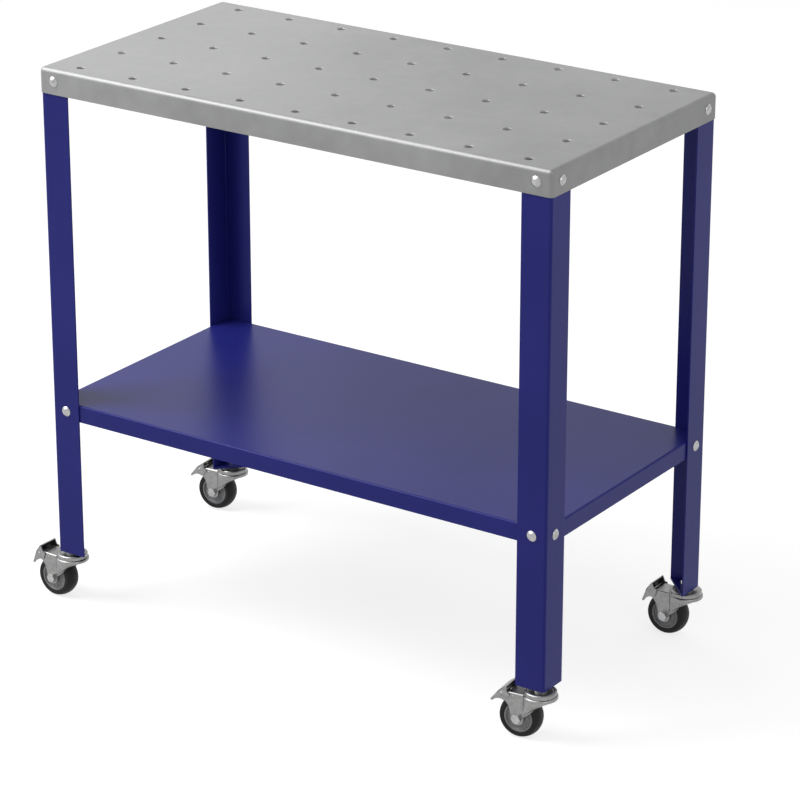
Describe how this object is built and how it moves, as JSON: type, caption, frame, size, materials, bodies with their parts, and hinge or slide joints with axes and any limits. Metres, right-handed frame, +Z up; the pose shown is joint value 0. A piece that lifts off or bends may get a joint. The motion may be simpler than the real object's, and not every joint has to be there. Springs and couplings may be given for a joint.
{
  "type": "assembly table",
  "caption": "Assembly table of folded sheet: a worktop with a grid of fixing holes, angle legs, a tray shelf and swivel castors with foot brakes.",
  "frame": {"origin": "on the floor under the middle of the worktop", "axes": "+X along the long side to the right as the picture is seen, +Y to the back, +Z up"},
  "size_m": [0.9827, 0.48, 0.885],
  "materials": {
    "zinc_sheet": "bare galvanised sheet, cloudy, satin",
    "blue_powder_coat": "satin powder coat with fine orange peel",
    "zinc_plated_bolts": "bright zinc plate",
    "castor_zinc": "bright zinc plate on pressed sheet",
    "bearing_steel": "polished and greased",
    "grey_wheel_plastic": "moulded, slightly grained",
    "black_tyre": "matt moulded rubber"
  },
  "bodies": {
    "table": {"worktop": "zinc_sheet", "lower_shelf": "blue_powder_coat", "apron_bolts": "zinc_plated_bolts", "apron_nuts": "zinc_plated_bolts", "shelf_bolts": "zinc_plated_bolts", "shelf_nuts": "zinc_plated_bolts", "castor_bolts": "zinc_plated_bolts", "castor_nuts": "zinc_plated_bolts", "front_left_leg": "blue_powder_coat", "front_left_foot_plate": "blue_powder_coat", "front_left_castor_race_cup": "castor_zinc", "front_left_castor_kingpin": "castor_zinc", "front_right_leg": "blue_powder_coat", "front_right_foot_plate": "blue_powder_coat", "front_right_castor_race_cup": "castor_zinc", "front_right_castor_kingpin": "castor_zinc", "back_left_leg": "blue_powder_coat", "back_left_foot_plate": "blue_powder_coat", "back_left_castor_race_cup": "castor_zinc", "back_left_castor_kingpin": "castor_zinc", "back_right_leg": "blue_powder_coat", "back_right_foot_plate": "blue_powder_coat", "back_right_castor_race_cup": "castor_zinc", "back_right_castor_kingpin": "castor_zinc"},
    "front_left_swivel": {"front_left_castor_fork": "castor_zinc", "front_left_castor_balls": "bearing_steel", "front_left_castor_axle_bolt": "zinc_plated_bolts", "front_left_castor_axle_nut": "zinc_plated_bolts", "front_left_castor_axle_sleeve": "bearing_steel", "front_left_castor_hinge_pin": "castor_zinc"},
    "front_left_wheel": {"front_left_castor_wheel_rim": "grey_wheel_plastic", "front_left_castor_tyre": "black_tyre"},
    "front_left_pedal": {"front_left_castor_brake_pedal": "castor_zinc"},
    "front_right_swivel": {"front_right_castor_fork": "castor_zinc", "front_right_castor_balls": "bearing_steel", "front_right_castor_axle_bolt": "zinc_plated_bolts", "front_right_castor_axle_nut": "zinc_plated_bolts", "front_right_castor_axle_sleeve": "bearing_steel", "front_right_castor_hinge_pin": "castor_zinc"},
    "front_right_wheel": {"front_right_castor_wheel_rim": "grey_wheel_plastic", "front_right_castor_tyre": "black_tyre"},
    "front_right_pedal": {"front_right_castor_brake_pedal": "castor_zinc"},
    "back_left_swivel": {"back_left_castor_fork": "castor_zinc", "back_left_castor_balls": "bearing_steel", "back_left_castor_axle_bolt": "zinc_plated_bolts", "back_left_castor_axle_nut": "zinc_plated_bolts", "back_left_castor_axle_sleeve": "bearing_steel", "back_left_castor_hinge_pin": "castor_zinc"},
    "back_left_wheel": {"back_left_castor_wheel_rim": "grey_wheel_plastic", "back_left_castor_tyre": "black_tyre"},
    "back_left_pedal": {"back_left_castor_brake_pedal": "castor_zinc"},
    "back_right_swivel": {"back_right_castor_fork": "castor_zinc", "back_right_castor_balls": "bearing_steel", "back_right_castor_axle_bolt": "zinc_plated_bolts", "back_right_castor_axle_nut": "zinc_plated_bolts", "back_right_castor_axle_sleeve": "bearing_steel", "back_right_castor_hinge_pin": "castor_zinc"},
    "back_right_wheel": {"back_right_castor_wheel_rim": "grey_wheel_plastic", "back_right_castor_tyre": "black_tyre"},
    "back_right_pedal": {"back_right_castor_brake_pedal": "castor_zinc"}
  },
  "joints": [
    {"name": "front_left_castor_swivel", "type": "hinge", "parent": "table", "child": "front_left_swivel", "pos_m": [-0.441, -0.2135, 0.074], "axis": [0, 0, 1], "continuous": true},
    {"name": "front_left_wheel_spin", "type": "hinge", "parent": "front_left_swivel", "child": "front_left_wheel", "pos_m": [-0.47098, -0.21245, 0.0335], "axis": [0.0349, 0.9994, 0], "continuous": true},
    {"name": "front_left_brake_rock", "type": "hinge", "parent": "front_left_swivel", "child": "front_left_pedal", "pos_m": [-0.49547, -0.2116, 0.0694], "axis": [0.0349, 0.9994, 0], "range_deg": [0, 18]},
    {"name": "front_right_castor_swivel", "type": "hinge", "parent": "table", "child": "front_right_swivel", "pos_m": [0.441, -0.2135, 0.074], "axis": [0, 0, 1], "continuous": true},
    {"name": "front_right_wheel_spin", "type": "hinge", "parent": "front_right_swivel", "child": "front_right_wheel", "pos_m": [0.41116, -0.21664, 0.0335], "axis": [-0.1045, 0.9945, 0], "continuous": true},
    {"name": "front_right_brake_rock", "type": "hinge", "parent": "front_right_swivel", "child": "front_right_pedal", "pos_m": [0.3868, -0.2192, 0.0694], "axis": [-0.1045, 0.9945, 0], "range_deg": [-18, 0]},
    {"name": "back_left_castor_swivel", "type": "hinge", "parent": "table", "child": "back_left_swivel", "pos_m": [-0.441, 0.2135, 0.074], "axis": [0, 0, 1], "continuous": true},
    {"name": "back_left_wheel_spin", "type": "hinge", "parent": "back_left_swivel", "child": "back_left_wheel", "pos_m": [-0.47093, 0.21141, 0.0335], "axis": [-0.0698, 0.9976, 0], "continuous": true},
    {"name": "back_left_brake_rock", "type": "hinge", "parent": "back_left_swivel", "child": "back_left_pedal", "pos_m": [-0.49537, 0.2097, 0.0694], "axis": [-0.0698, 0.9976, 0], "range_deg": [-18, 0]},
    {"name": "back_right_castor_swivel", "type": "hinge", "parent": "table", "child": "back_right_swivel", "pos_m": [0.441, 0.2135, 0.074], "axis": [0, 0, 1], "continuous": true},
    {"name": "back_right_wheel_spin", "type": "hinge", "parent": "back_right_swivel", "child": "back_right_wheel", "pos_m": [0.411, 0.2135, 0.0335], "axis": [0, 1, 0], "continuous": true},
    {"name": "back_right_brake_rock", "type": "hinge", "parent": "back_right_swivel", "child": "back_right_pedal", "pos_m": [0.3865, 0.2135, 0.0694], "axis": [0, 1, 0], "range_deg": [0, 18]}
  ]
}
